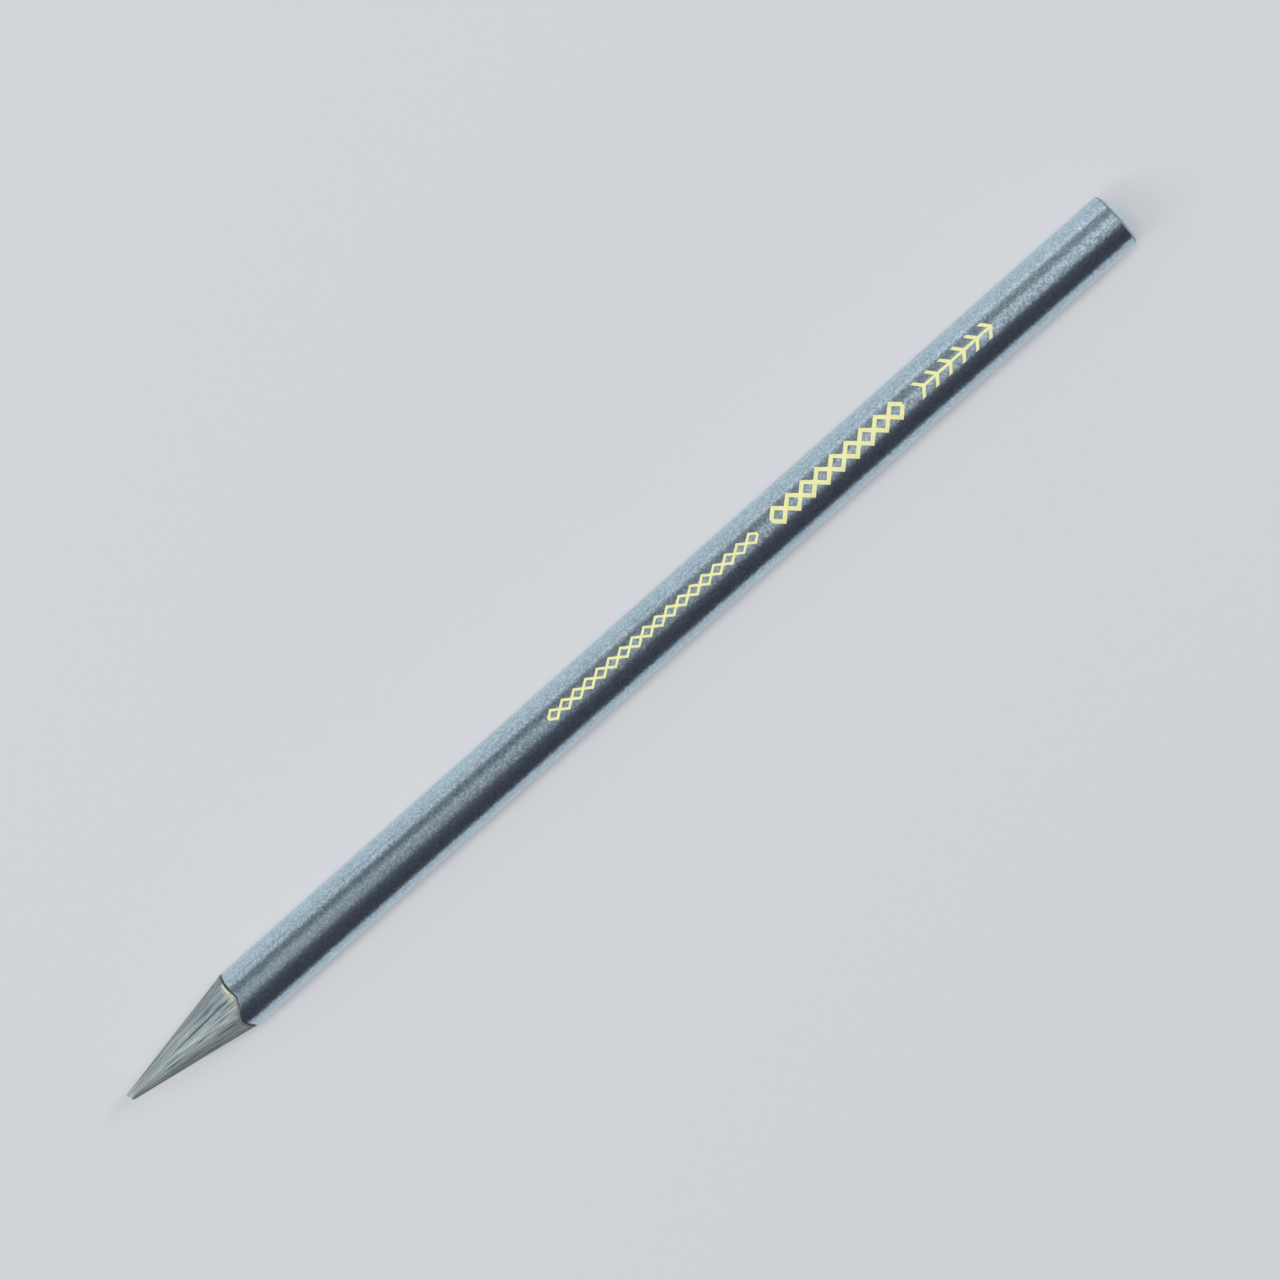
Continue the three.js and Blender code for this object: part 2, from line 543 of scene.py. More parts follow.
@dataclass(frozen=True)
class Lacquer(Finish):
    """Glossy lacquer full of fine metal flake, dull and dark where it is cut, with a dark line of
    painted shade along a rim.

    Attributes:
        colour: Colour of the flake in the lacquer.
        film_radius: Radius of the uncut film, in millimetres.
        painted_shade_rim_x: Where the film starts in a painted dark shade line, not a cut, in
            millimetres, or None.
        bare_and_rim_shade: Its colour in the cut, and of the painted shade along the rim.
        flake_size: Size of a flake, in millimetres.
        flake_tilt: How far flakes lean.
        metal: Share of metal in the film.
        roughness: How much the flakes scatter.
    """

    colour: Colour
    film_radius: float
    painted_shade_rim_x: float | None = None
    bare_and_rim_shade: Colour = screen_colour(62, 72, 80)
    flake_size: float = 0.2
    flake_tilt: float = 0.06
    metal: float = 0.97
    roughness: float = 0.26

    def surface(self, board: Board, place: Signal) -> dict[str, object]:
        """Wire up the flake, the streaks along the barrel, the cut edge and the painted shade along a
        rim.

        Args:
            board: Where it is wired.
            place: The place, in millimetres.

        Returns:
            The shader's inputs.
        """
        along, radius, side, up = board.polar(place)
        cells = {"Vector": place, "Scale": 1 / self.flake_size}
        flakes = board.node("ShaderNodeTexVoronoi", None, cells, "Color")
        pick, _, _ = board.parts(flakes)
        lean = board.vector_math("SUBTRACT", flakes, (0.5, 0.5, 0.5))
        lean = board.shade(lean, self.flake_tilt)
        upright = board.node("ShaderNodeNewGeometry", output="Normal")
        leaning = board.vector_math("NORMALIZE", board.vector_math("ADD", upright, lean), (0, 0, 0))
        streaks = board.noise(board.joined(along * 0.05, side * 4.0, up * 4.0), 1.0, 4, 0.6)
        clouds = board.noise(place, 0.6, 3)
        peel = board.noise(place, 1.6, 2)
        brightness = (pick - 0.5) * 0.4 + streaks * 0.1 + clouds * 0.1 + 1.0
        tint = board.shade(self.colour, brightness)
        if self.painted_shade_rim_x is None:
            cut_and_rim_shade = radius.ease(self.film_radius - 0.0008, self.film_radius - 0.003)
        else:
            # painted shade: a dark line along the dipped end's rim, where it meets the lacquer
            cut_and_rim_shade = along.ease(self.painted_shade_rim_x + 0.46, self.painted_shade_rim_x + 0.12) * 0.6
        return {
            "Base Color": board.blend(cut_and_rim_shade, tint, self.bare_and_rim_shade),
            "Metallic": self.metal - cut_and_rim_shade * 0.6,
            "Roughness": self.roughness + streaks * 0.04 + cut_and_rim_shade * 0.25,
            "Normal": board.relief(peel, 0.0015 * MM, leaning),
            "Coat Weight": 0.5 - cut_and_rim_shade * 0.5,
            "Coat Roughness": 0.12,
        }


@dataclass(frozen=True)
class Graphite(Finish):
    """Freshly cut graphite, scored along the cone by the sharpener, with burnished streaks and chips
    painted pale as highlights.

    Attributes:
        colour: Its colour where it is smooth.
        dark: Its colour in a score.
        painted_highlight: Its colour where the blade burnished it, paler as a painted highlight.
        point_x: Where the point ends, in millimetres.
        chipped_highlight_reach: How far from the point chips are painted pale as highlights, in
            millimetres.
        score_roll: Where the deepest score runs.
        dust: Colour of the primer that the blade dragged over the shoulder.
        dusty_roll: Where it did so most.
    """

    colour: Colour
    dark: Colour
    painted_highlight: Colour
    point_x: float
    chipped_highlight_reach: float = 1.6
    score_roll: float = math.radians(-25.5)
    dust: Colour = screen_colour(206, 208, 180)
    dusty_roll: float = math.radians(-33)

    def _from_point(self, along: Signal, low: float, high: float) -> Signal:
        """Ease from 0 at one distance from the point to 1 at another, in millimetres."""
        return along.ease(self.point_x + low, self.point_x + high)

    def surface(self, board: Board, place: Signal) -> dict[str, object]:
        """Wire up the scores, the burnished streaks with their painted highlights, and the grain.

        Args:
            board: Where it is wired.
            place: The place, in millimetres.

        Returns:
            The shader's inputs.
        """
        along, radius, side, up = board.polar(place)
        broad = board.noise(board.joined(along * 0.08, side * 2.5, up * 2.5), 1.0, 2)
        scores = board.noise(board.joined(along * 0.2, side * 10.0, up * 10.0), 1.0, 4, 0.62)
        hairs = board.noise(board.joined(along * 0.3, side * 34.0, up * 34.0), 1.0, 3, 0.6)
        grain = board.noise(place, 8.0, 3, 0.6)
        ends = self._from_point(along, 17.2, 15.0) * self._from_point(along, 5, 11)
        off_score = radius * (side * math.cos(self.score_roll) + up * math.sin(self.score_roll))
        score = (off_score * off_score).ease(0.02, 0.002) * up.ease(0.0, 0.4) * ends
        height = broad * 0.6 + scores * 1.0 + hairs * 0.5 - score * 0.5
        scored = (scores + hairs * 1.1 - score * 0.35).ease(-0.06, -0.17)
        # painted highlight: chips near the point and burnished streaks are smoother, and tinted pale
        chipped_highlight = self._from_point(along, self.chipped_highlight_reach, 0) * (grain + scores + 0.3)
        burnish_and_highlight = (scores + broad * 0.7 + hairs * 0.9 + chipped_highlight * 0.5 - score * 0.3).ease(0.06, 0.21)
        tint = board.blend(scored * 0.85, self.colour, self.dark)
        tint = board.blend(burnish_and_highlight * 0.85, tint, self.painted_highlight)
        shoulder = self._from_point(along, 15.6, 16.4)
        dusty = shoulder * facing(side, up, self.dusty_roll).ease(0.86, 0.97)
        dusted = dusty * (grain + hairs * 1.5 + 0.5)
        tint = board.blend(dusted, tint, self.dust)
        return {
            "Base Color": board.shade(tint, grain * 0.5 + 1.0),
            "Metallic": 0.35,
            "Roughness": 0.6 - burnish_and_highlight * 0.1 + grain * 0.2,
            "Normal": board.relief(height + grain * 0.25, 0.06 * MM),
        }


@dataclass(frozen=True)
class Undercoat(Finish):
    """Matt primer, smeared with graphite where it is cut.

    Attributes:
        colour: Its clean colour.
        smear: Its colour under a smear of graphite.
        clean_roll: Where it is cleanest.
    """

    colour: Colour
    smear: Colour
    clean_roll: float = math.radians(-36)

    def surface(self, board: Board, place: Signal) -> dict[str, object]:
        """Wire up the primer and its smears.

        Args:
            board: Where it is wired.
            place: The place, in millimetres.

        Returns:
            The shader's inputs.
        """
        along, _, side, up = board.polar(place)
        patches = board.noise(board.joined(along * 0.3, side * 3.5, up * 3.5), 1.0, 4, 0.65)
        grain = board.noise(place, 10.0, 2)
        clean = facing(side, up, self.clean_roll).ease(0.85, 0.97)
        smeared = (patches + grain * 0.5 - clean * 0.3).ease(-0.4, -0.14)
        return {
            "Base Color": board.blend(smeared * 0.85, self.colour, self.smear),
            "Roughness": 0.65 + grain * 0.2,
            "Normal": board.relief(grain, 0.01 * MM),
        }


@dataclass(frozen=True)
class Foil(Finish):
    """Hot-stamped foil with a satin face and fine pits.

    Attributes:
        colour: Its colour.
        worn: Its colour where it is thin.
    """

    colour: Colour
    worn: Colour

    def surface(self, board: Board, place: Signal) -> dict[str, object]:
        """Wire up the mottling and the pits.

        Args:
            board: Where it is wired.
            place: The place, in millimetres.

        Returns:
            The shader's inputs.
        """
        mottling = board.noise(place, 2.2, 4, 0.6)
        pits = board.noise(place, 11.0, 3, 0.6)
        thin = (mottling * 0.6 + pits).ease(0.12, 0.3)
        tint = board.blend(thin * 0.6, self.colour, self.worn)
        return {
            "Base Color": board.shade(tint, mottling * 0.22 + 1.0),
            "Metallic": 0.1,
            "Roughness": 0.45 + pits * 0.3,
            "Normal": board.relief(pits, 0.006 * MM),
        }


@dataclass(frozen=True)
class PlainFloor:
    """The pale floor that the pencil lies on, with a painted shadow in its glow beside the pencil.

    Attributes:
        colour: Its colour.
        glow: Share of its colour that it shows in any light.
        painted_shadow_reach: How near to the pencil the glow is dimmed as a painted shadow, on the
            side away from the light.
        light: The direction that the light comes from.
        roughness: How much it scatters.
        width: Its width.
    """

    colour: Colour = (0.665, 0.685, 0.715, 1.0)
    glow: float = 0.65
    painted_shadow_reach: float = 2.7 * MM
    light: tuple[float, float, float] = (0.0, 1.0, 0.2)
    roughness: float = 0.45
    width: float = 9.0

    def build(self) -> None:
        """Lay the floor under the pencil."""
        shape = bmesh.new()
        bmesh.ops.create_grid(shape, x_segments=1, y_segments=1, size=self.width / 2)
        mesh = bpy.data.meshes.new("floor")
        shape.to_mesh(mesh)
        shape.free()
        material = bpy.data.materials.new("floor")
        board = Board(material)
        sockets = {"Base Color": self.colour, "Roughness": self.roughness}
        lit = board.node("ShaderNodeBsdfPrincipled", None, sockets)
        # painted shadow: the glow is dimmed near the pencil on the side away from the light
        sockets = {"Distance": self.painted_shadow_reach, "Normal": board.joined(*self.light)}
        painted_shadow_openness = board.node("ShaderNodeAmbientOcclusion", {"samples": 8}, sockets, "AO")
        glowing = board.node("ShaderNodeEmission", None, {"Color": board.shade(self.colour, painted_shadow_openness)})
        rays = board.add("ShaderNodeLightPath")
        seen = Signal(board, rays.outputs["Is Camera Ray"])
        mirrored = Signal(board, rays.outputs["Is Glossy Ray"])
        share = (seen + mirrored) * self.glow
        shown = board.node("ShaderNodeMixShader", None, {0: share, 1: lit, 2: glowing})
        board.add("ShaderNodeOutputMaterial", None, {"Surface": shown})
        mesh.materials.append(material)
        floor = bpy.data.objects.new("floor", mesh)
        bpy.context.scene.collection.objects.link(floor)


@dataclass(frozen=True)
class SoftLamp:
    """A rectangular softbox that faces the pencil.

    Attributes:
        name: Its name.
        centre: Where its middle is.
        width: Its width, level with the floor.
        height: Its other side.
        radiance: How bright its face is, where 1 is white.
    """

    name: str
    centre: Vector
    width: float
    height: float
    radiance: float

    @classmethod
    def strip(
        cls, name: str, rolls: tuple[float, float], stations: tuple[float, float], radiance: float
    ) -> "SoftLamp":
        """Describe a softbox that runs along the pencil.

        Args:
            name: Its name.
            rolls: Between which rolls round the pencil it hangs, in degrees.
            stations: Where it starts and ends along the pencil.
            radiance: How bright its face is, where 1 is white.

        Returns:
            The softbox.
        """
        roll = math.radians(sum(rolls) / 2)
        half_span = math.radians(rolls[1] - rolls[0]) / 2
        side, up = -STRIP_DISTANCE * math.sin(roll), STRIP_DISTANCE * math.cos(roll)
        centre = Vector((sum(stations) / 2, side, up))
        height = 2 * STRIP_DISTANCE * math.tan(half_span)
        return cls(name, centre, stations[1] - stations[0], height, radiance)

    def build(self) -> None:
        """Hang the lamp."""
        light = bpy.data.lights.new(self.name, "AREA")
        light.shape = "RECTANGLE"
        light.size = self.width
        light.size_y = self.height
        light.energy = self.radiance * math.pi * self.width * self.height
        lamp = bpy.data.objects.new(self.name, light)
        ahead = -self.centre
        if self.width > STRIP_LENGTH:
            ahead.x = 0
        turn = ahead.to_track_quat("-Z", "Y")
        lamp.matrix_world = Matrix.Translation(self.centre) @ turn.to_matrix().to_4x4()
        lamp.visible_camera = False
        bpy.context.scene.collection.objects.link(lamp)


@dataclass(frozen=True)
class Surroundings:
    """A dim studio with a pale cove low round the horizon.

    Attributes:
        cove: Colour of the cove.
        ceiling: Colour of everything above it.
        cove_top: Height to which the cove is pale, as the sine of an elevation.
        cove_fade: Height at which it has faded, as the sine of an elevation.
    """

    cove: Colour = (0.66, 0.68, 0.71, 1.0)
    ceiling: Colour = (0.04, 0.037, 0.052, 1.0)
    cove_top: float = -0.02
    cove_fade: float = 0.03

    def build(self) -> None:
        """Set the world."""
        world = bpy.data.worlds.new("studio")
        board = Board(world)
        heading = board.node("ShaderNodeTexCoord", output="Generated")
        _, _, height = board.parts(heading)
        shade = board.blend(height.ease(self.cove_top, self.cove_fade), self.cove, self.ceiling)
        background = board.node("ShaderNodeBackground", None, {"Color": shade, "Strength": 1.0})
        board.add("ShaderNodeOutputWorld", None, {"Surface": background})
        bpy.context.scene.world = world


@dataclass(frozen=True)
class OverheadCamera:
    """The camera of the photograph, which looks down, leaning a little towards +Y.

    Attributes:
        axis_z: Height of the pencil's axis.
        view_width: Width of the view at that height.
        aim_x: The station that the view is centred on.
        aim_y: How far to the side of the axis the view is centred.
        turn: How far the picture is turned from the pencil's length.
        lean: How far the camera leans towards +Y, round the pencil's axis.
        lens: Its focal length, in millimetres.
        sensor: Width of its sensor, in millimetres.
    """

    axis_z: float
    view_width: float = 144.3 * MM
    aim_x: float = 2.34 * MM
    aim_y: float = 0.26 * MM
    turn: float = math.radians(41.65)
    lean: float = math.radians(10)
    lens: float = 200.0
    sensor: float = 36.0

    def build(self) -> None:
        """Set up the camera."""
        camera = bpy.data.cameras.new("camera")
        camera.lens = self.lens
        camera.sensor_width = self.sensor
        stand = bpy.data.objects.new("camera", camera)
        distance = self.view_width * self.lens / self.sensor
        stand.matrix_world = (
            Matrix.Translation((self.aim_x, self.aim_y, self.axis_z))
            @ Matrix.Rotation(-self.lean, 4, "X")
            @ Matrix.Rotation(-self.turn, 4, "Z")
            @ Matrix.Translation((0, 0, distance))
        )
        bpy.context.scene.collection.objects.link(stand)
        bpy.context.scene.camera = stand


@dataclass(frozen=True)
class Studio:
    """The floor, the light and the camera.

    Attributes:
        sizes: The pencil's sizes.
    """

    sizes: PencilSizes

    def lamps(self) -> list[SoftLamp]:
        """List the lamps: strips behind and above the pencil, two off its ends, one by its point."""
        point_stretch, dome_stretch = (-1.2, 0.05), (0.05, 1.2)
        return [
            SoftLamp.strip("low_back", (-86, -68), point_stretch, 0.64),
            SoftLamp.strip("middle_back", (-68, -60), point_stretch, 0.27),
            SoftLamp.strip("high_back", (-60, -34), point_stretch, 0.06),
            SoftLamp.strip("overhead", (-34, -18), point_stretch, 0.25),
            SoftLamp.strip("front", (-18, 9), point_stretch, 0.13),
            SoftLamp.strip("low_back_dome", (-88, -70), dome_stretch, 0.88),
            SoftLamp.strip("high_back_dome", (-70, -34), dome_stretch, 0.24),
            SoftLamp.strip("overhead_dome", (-34, -14), dome_stretch, 0.62),
            SoftLamp.strip("front_dome", (-14, 12), dome_stretch, 0.4),
            SoftLamp("point_end", Vector((-0.76, 0.2, 0.84)), width=0.2, height=0.8, radiance=12.2),
            SoftLamp("dome_end", Vector((0.76, 0.2, 0.84)), width=0.2, height=0.8, radiance=11.0),
            SoftLamp("point_side", Vector((-0.6, 0.5, 0.6)), width=0.4, height=0.4, radiance=2.5),
        ]

    def build(self) -> None:
        """Set up the studio."""
        PlainFloor().build()
        Surroundings().build()
        OverheadCamera(self.sizes.axis_z).build()
        for lamp in self.lamps():
            lamp.build()
        bpy.context.scene.view_settings.view_transform = "Standard"
        log.info("studio is set")


@dataclass(frozen=True)
class GraphiteRod:
    """The solid graphite rod, with its sharpened cone and its domed end.

    Attributes:
        cone: The cone that the sharpener cut.
        cone_rings: How many rings the cone is drawn with.
        flat_rings: How many rings the blunt end is drawn with.
        slant: How far the blunt end is set back on its -Y side.
        notch_depth: Depth of the nick across the blunt end.
        notch_half_width: Half the width of the nick.
        notch_y: Where the nick lies across the blunt end.
        tip_reach: How far from the point the nick and the chips fade out.
        chip_depth: Depth of the chips round the blunt end.
        flutes: Noise scales round the cone and the depths of the flutes that they give.
    """

    cone: SharpenedCone
    cone_rings: int = 170
    flat_rings: int = 12
    slant: float = 0.29 * MM
    notch_depth: float = 0.26 * MM
    notch_half_width: float = 0.15 * MM
    notch_y: float = 0.02 * MM
    tip_reach: float = 0.8 * MM
    chip_depth: float = 0.09 * MM
    flutes: tuple[tuple[float, float], ...] = ((3.0, 0.05 * MM), (9.0, 0.022 * MM), (24.0, 0.01 * MM))

    def _tip_edge(self, roll: float) -> Vector:
        """Find the blunt end's rim, set back by its slant.

        Args:
            roll: The roll at which it is wanted.

        Returns:
            The place on the rim.
        """
        sizes = self.cone.sizes
        tip = self.cone.middle + sizes.at(sizes.point_x, self.cone.flat_radius, roll)
        tip.z -= sizes.axis_z
        across = -math.sin(roll)
        set_back = self.slant * (1 - across) / 2
        shoulder = self.cone.edge(sizes.core_radius, roll)
        return tip.lerp(shoulder, set_back / (shoulder.x - tip.x))

    def _tip_middle(self) -> Vector:
        """Give the place of the blunt end's middle."""
        return self.cone.middle + Vector((self.cone.sizes.point_x + self.slant / 2, 0, 0))

    def _worn(self, place: Vector, share: float) -> Vector:
        """Nick, chip and flute a place on the cone or on its blunt end.

        Args:
            place: The place on the plain cone.
            share: How far up the cone it is, from 0 at the blunt end to 1 at the shoulder.

        Returns:
            The worn place.
        """
        sizes = self.cone.sizes
        middle = self.cone.middle
        from_tip = place.x - sizes.point_x
        near_tip = max(0.0, 1 - from_tip / self.tip_reach)
        off_notch = abs(place.y - middle.y - self.notch_y) / self.notch_half_width
        place = place.copy()
        place.x += self.notch_depth * max(0.0, 1 - off_notch) * near_tip
        spoke = Vector((0, place.y - middle.y, place.z - middle.z))
        radius = spoke.length
        if radius < WELD:
            return place
        heading = spoke / radius
        chips = noise.noise(place / MM * 3.3) + 0.7 * noise.noise(place / MM * 8.0)
        worn = self.chip_depth * near_tip**2 * max(0.0, chips) * radius / self.cone.flat_radius
        for scale, depth in self.flutes:
            spot = Vector((place.x / MM * 0.02 * scale, heading.y * scale, heading.z * scale))
            worn += depth * noise.noise(spot) * radius / sizes.core_radius * (1 - share**8)
        return place - heading * worn

    def shape(self) -> bmesh.types.BMesh:
        """Model the rod.

        Returns:
            Its shape.
        """
        sizes = self.cone.sizes
        shoulder_x = self.cone.plain_x(sizes.core_radius)
        profile = [
            (sizes.point_x, 0),
            (sizes.point_x, self.cone.flat_radius),
            (shoulder_x, sizes.core_radius),
            *dome_profile(sizes, sizes.core_radius, sizes.core_crown_x, DOME_STEPS),
        ]
        shape = turned(sizes, profile, {0: self.flat_rings, 1: self.cone_rings})
        tip_middle = self._tip_middle()
        for corner in shape.verts:
            roll = sizes.roll(corner.co)
            radius = sizes.radius(corner.co)
            share = (corner.co.x - sizes.point_x) / (shoulder_x - sizes.point_x)
            if share < WELD and radius < self.cone.flat_radius - WELD:
                rim = self._tip_edge(roll) if radius > WELD else tip_middle
                corner.co = self._worn(tip_middle.lerp(rim, radius / self.cone.flat_radius), 0)
            elif share < 1 + WELD:
                shoulder = self.cone.edge(sizes.core_radius, roll)
                corner.co = self._worn(self._tip_edge(roll).lerp(shoulder, share), share)
        return shape

    def build(self) -> None:
        """Model and dress the rod."""
        finish = Graphite(
            name="cut_graphite",
            middle=self.cone.middle,
            colour=(0.31, 0.37, 0.38, 1.0),
            dark=(0.06, 0.08, 0.09, 1.0),
            # painted highlight colour of the burnished streaks and chips
            painted_highlight=(0.55, 0.62, 0.6, 1.0),
            point_x=self.cone.sizes.point_x / MM,
        )
        add_piece("graphite_rod", self.shape(), finish.build(), "graphite_core")


@dataclass(frozen=True)
class Coats:
    """The undercoat and the lacquer round the rod, both cut by the sharpener.

    Attributes:
        cone: The cone that the sharpener cut.
        cut_rings: How many more rings a coat's cut front gets.
        back_rounding: How far the lacquer is rounded where it meets the dipped end.
    """

    cone: SharpenedCone
    cut_rings: int = 2
    back_rounding: float = 0.04 * MM

    def sleeve(self, inner_radius: float, outer_radius: float) -> bmesh.types.BMesh:
        """Model a coat.

        Args:
            inner_radius: Its radius inside.
            outer_radius: Its radius outside.

        Returns:
            The coat's shape.
        """
        sizes = self.cone.sizes
        inner_x = self.cone.plain_x(inner_radius)
        outer_x = self.cone.plain_x(outer_radius)
        profile = [
            (inner_x, inner_radius),
            (outer_x, outer_radius),
            (sizes.dome_x, outer_radius),
            (sizes.dome_x, inner_radius),
        ]
        shape = turned(sizes, profile, {0: self.cut_rings}, closed=True)
        for corner in shape.verts:
            if corner.co.x < outer_x + WELD:
                corner.co = self.cone.edge(sizes.radius(corner.co), sizes.roll(corner.co))
        return shape

    def undercoat(self) -> None:
        """Model and dress the undercoat."""
        sizes = self.cone.sizes
        finish = Undercoat(
            name="primer",
            middle=Vector((0, 0, sizes.axis_z)),
            colour=screen_colour(214, 214, 184),
            smear=screen_colour(96, 106, 108),
        )
        shape = self.sleeve(sizes.core_radius, sizes.undercoat_radius)
        add_piece("undercoat_film", shape, finish.build(), "undercoat", SLEEVE_SHARP_ANGLE)

    def lacquer(self) -> None:
        """Model and dress the lacquer."""
        sizes = self.cone.sizes
        shape = self.sleeve(sizes.undercoat_radius, sizes.barrel_radius)
        round_foot(shape, sizes, self.back_rounding, segments=3)
        finish = Lacquer(
            name="metallic_lacquer",
            middle=Vector((0, 0, sizes.axis_z)),
            colour=(0.53, 0.685, 0.765, 1.0),
            film_radius=sizes.barrel_radius / MM,
        )
        add_piece("lacquer_sleeve", shape, finish.build(), "lacquer_coat", SLEEVE_SHARP_ANGLE)


@dataclass(frozen=True)
class DippedEnd:
    """The dipped coat over the domed end.

    Attributes:
        sizes: The pencil's sizes.
        foot_rounding: How far the coat is rounded where it meets the lacquer.
    """

    sizes: PencilSizes
    foot_rounding: float = 0.09 * MM

    def build(self) -> None:
        """Model and dress the dipped coat."""
        sizes = self.sizes
        inside = dome_profile(sizes, sizes.core_radius, sizes.core_crown_x, DOME_STEPS)
        outside = dome_profile(sizes, sizes.barrel_radius, sizes.crown_x, DOME_STEPS * 2)
        shape = turned(sizes, inside[::-1] + outside, {})
        round_foot(shape, sizes, self.foot_rounding, segments=4)
        finish = Lacquer(
            name="dipped_lacquer",
            middle=Vector((0, 0, sizes.axis_z)),
            colour=(0.67, 0.8, 0.86, 1.0),
            film_radius=sizes.barrel_radius / MM,
            # a dark line of painted shade along the dipped coat's rim
            painted_shade_rim_x=sizes.dome_x / MM,
        )
        add_piece("dipped_end", shape, finish.build(), "end_dip")


class Motif(Enum):
    """The ornaments of the foil bands."""

    CHAIN = "foil_chain"
    LOZENGES = "foil_lozenges"
    CHEVRONS = "foil_chevrons"


@dataclass(frozen=True)
class FoilBand:
    """A band of foil ornament on the lacquer.

    Attributes:
        sizes: The pencil's sizes.
        motif: Its ornament.
        count: How many times the ornament is repeated.
        pitch: From one repeat to the next.
        height: Its height across the barrel.
        stroke: Width of its strokes.
        rake: How far a chevron's tip leads the ends of its arms.
        spine: Height of the line that strings chevrons together.
        roll: Where its middle line lies.
        film: How far the foil stands out from the lacquer.
        bedding: Its whole thickness, as a share of that.
        slice_width: Width of the slices in which it bends round the barrel.
        wobble: How unsteady its edges are.
        wobble_scale: How fine the unsteadiness is, as a noise scale.
    """

    sizes: PencilSizes
    motif: Motif
    count: int
    pitch: float
    height: float
    stroke: float
    rake: float = 0.0
    spine: float = 0.0
    roll: float = math.radians(-17)
    film: float = 0.02 * MM
    bedding: float = 1.2
    slice_width: float = 0.1 * MM
    wobble: float = 0.025 * MM
    wobble_scale: float = 2.3

    def _lozenge_quarter(self, sheet: bmesh.types.BMesh) -> None:
        """Draw a quarter of a lozenge, whose strokes cross those of the next one.

        Args:
            sheet: The empty sheet that it is drawn on.
        """
        half_rise = self.stroke / 2 * math.hypot(1, self.height / self.pitch)
        swing = self.height / 2 - half_rise
        middle_x = self.pitch / 2
        corners = [
            (0, 0),
            (half_rise * middle_x / swing, 0),
            (middle_x, swing - half_rise),
            (middle_x, swing + half_rise),
            (0, half_rise),
        ]
        sheet.faces.new([sheet.verts.new((x, y, 0)) for x, y in corners])

    def _chevron_half(self, sheet: bmesh.types.BMesh) -> None:
        """Draw half a chevron and half of the spine that joins it to the next one.

        Args:
            sheet: The empty sheet that it is drawn on.
        """
        arm = self.height / 2
        levels = [0, self.spine / 2, arm]
        rows = [
            [
                sheet.verts.new((self.rake * (1 - y / arm) + x, y, 0))
                for x in (0, self.stroke, self.pitch)
            ]
            for y in levels
        ]
        foot, waist, top = rows
        sheet.faces.new([foot[0], foot[1], waist[1], waist[0]])
        sheet.faces.new([foot[1], foot[2], waist[2], waist[1]])
        sheet.faces.new([waist[0], waist[1], top[1], top[0]])
        sheet.verts.remove(top[2])

    def _mirrored(self, sheet: bmesh.types.BMesh, axis: str) -> None:
        """Mirror the sheet in a plane through its origin."""
        whole = sheet.verts[:] + sheet.edges[:] + sheet.faces[:]
        bmesh.ops.mirror(sheet, geom=whole, merge_dist=WELD, axis=axis)

    def _repeated(self, sheet: bmesh.types.BMesh) -> None:
        """Repeat the ornament along the band.

        Args:
            sheet: The sheet that holds it once.
        """
        first = sheet.verts[:] + sheet.edges[:] + sheet.faces[:]
        for number in range(1, self.count):
            made = bmesh.ops.duplicate(sheet, geom=first)["geom"]
            corners = [item for item in made if isinstance(item, bmesh.types.BMVert)]
            bmesh.ops.translate(sheet, verts=corners, vec=(number * self.pitch, 0, 0))

    def _sliced(self, sheet: bmesh.types.BMesh, axis: int, width: float) -> None:
        """Cut the sheet into slices across an axis.

        Args:
            sheet: The sheet.
            axis: 0 for X and 1 for Y.
            width: Width of a slice.
        """
        normal = Vector((0, 0, 0))
        normal[axis] = 1
        levels = [corner.co[axis] for corner in sheet.verts]
        first = math.floor(min(levels) / width)
        last = math.ceil(max(levels) / width)
        for number in range(first, last + 1):
            bmesh.ops.bisect_plane(
                sheet,
                geom=sheet.verts[:] + sheet.edges[:] + sheet.faces[:],
                dist=WELD,
                plane_co=normal * (number * width),
                plane_no=normal,
            )

    def _flat(self) -> bmesh.types.BMesh:
        """Draw the whole ornament flat, with its middle line on X.

        Returns:
            The sheet.
        """
        sheet = bmesh.new()
        if self.motif is Motif.CHEVRONS:
            self._chevron_half(sheet)
            self._repeated(sheet)
            last_tip = (self.count - 1) * self.pitch + self.rake + self.stroke
            surplus = [face for face in sheet.faces if face.calc_center_median().x > last_tip]
            bmesh.ops.delete(sheet, geom=surplus, context="FACES")
        else:
            self._lozenge_quarter(sheet)
            bmesh.ops.translate(sheet, verts=sheet.verts[:], vec=(-self.pitch / 2, 0, 0))
            self._mirrored(sheet, "X")
            bmesh.ops.translate(sheet, verts=sheet.verts[:], vec=(self.pitch / 2, 0, 0))
            self._repeated(sheet)
        self._mirrored(sheet, "Y")
        bmesh.ops.remove_doubles(sheet, verts=sheet.verts[:], dist=WELD)
        return sheet

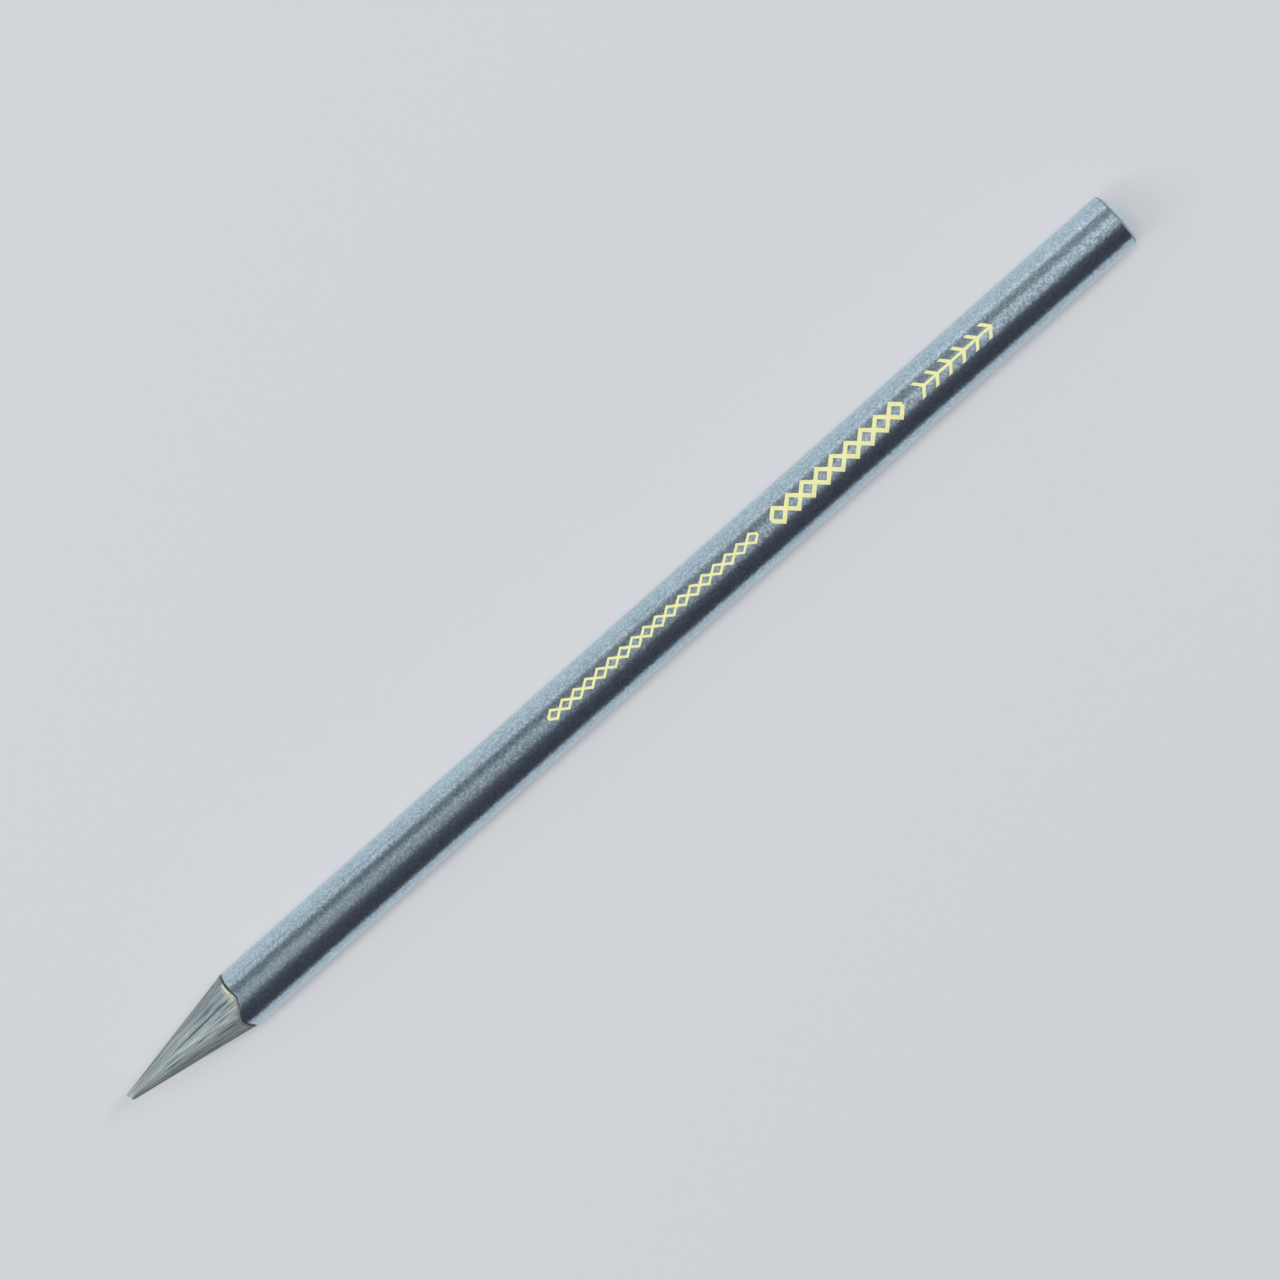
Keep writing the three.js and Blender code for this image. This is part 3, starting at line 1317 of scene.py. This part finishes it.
    def shape(self) -> bmesh.types.BMesh:
        """Model the band.

        Returns:
            Its shape, in place on the barrel.
        """
        low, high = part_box(self.motif.value)
        sheet = self._flat()
        self._sliced(sheet, 1, self.slice_width)
        self._sliced(sheet, 0, self.slice_width * 2)
        outer_radius = self.sizes.barrel_radius + self.film
        for corner in sheet.verts:
            spot = corner.co / MM * self.wobble_scale
            corner.co.y += self.wobble * noise.noise(spot + Vector((low.x / MM, 0, 0)))
            corner.co.z = math.sqrt(outer_radius**2 - corner.co.y**2)
        bmesh.ops.recalc_face_normals(sheet, faces=sheet.faces[:])
        if sum(face.normal.z for face in sheet.faces) < 0:
            bmesh.ops.reverse_faces(sheet, faces=sheet.faces[:])
        bmesh.ops.solidify(sheet, geom=sheet.faces[:], thickness=self.film * self.bedding)
        turn = Matrix.Rotation(self.roll, 4, "X")
        bmesh.ops.transform(sheet, matrix=turn, verts=sheet.verts[:])
        bmesh.ops.translate(sheet, verts=sheet.verts[:], vec=(low.x, 0, self.sizes.axis_z))
        return sheet

    def build(self) -> None:
        """Model and dress the band."""
        finish = Foil(
            name=f"yellow_{self.motif.value}",
            middle=Vector((0, 0, self.sizes.axis_z)),
            colour=(0.92, 0.91, 0.44, 1.0),
            worn=(0.62, 0.67, 0.4, 1.0),
        )
        name = self.motif.name.lower() + "_foil"
        add_piece(name, self.shape(), finish.build(), self.motif.value)


@dataclass(frozen=True)
class Pencil:
    """The whole pencil.

    Attributes:
        sizes: Its sizes.
    """

    sizes: PencilSizes

    def bands(self) -> list[FoilBand]:
        """List the foil bands, from the middle of the barrel to the back."""
        return [
            FoilBand(
                self.sizes, Motif.CHAIN, count=18, pitch=1.75 * MM, height=1.6 * MM, stroke=0.26 * MM
            ),
            FoilBand(
                self.sizes, Motif.LOZENGES, count=9, pitch=2.2 * MM, height=2.7 * MM, stroke=0.42 * MM
            ),
            FoilBand(
                self.sizes, Motif.CHEVRONS, count=6, pitch=2 * MM, height=2.2 * MM, stroke=0.5 * MM,
                rake=0.9 * MM, spine=0.3 * MM
            ),
        ]

    def build(self) -> None:
        """Build the pencil's pieces, from the rod outwards."""
        cone = SharpenedCone(self.sizes)
        GraphiteRod(cone).build()
        coats = Coats(cone)
        coats.undercoat()
        coats.lacquer()
        DippedEnd(self.sizes).build()
        for band in self.bands():
            band.build()


def main() -> None:
    """Build the pencil and its studio."""
    logging.basicConfig(level=logging.INFO, format="%(name)s: %(message)s")
    sizes = PencilSizes.from_frame()
    Pencil(sizes).build()
    Studio(sizes).build()


if __name__ == "__main__":
    main()
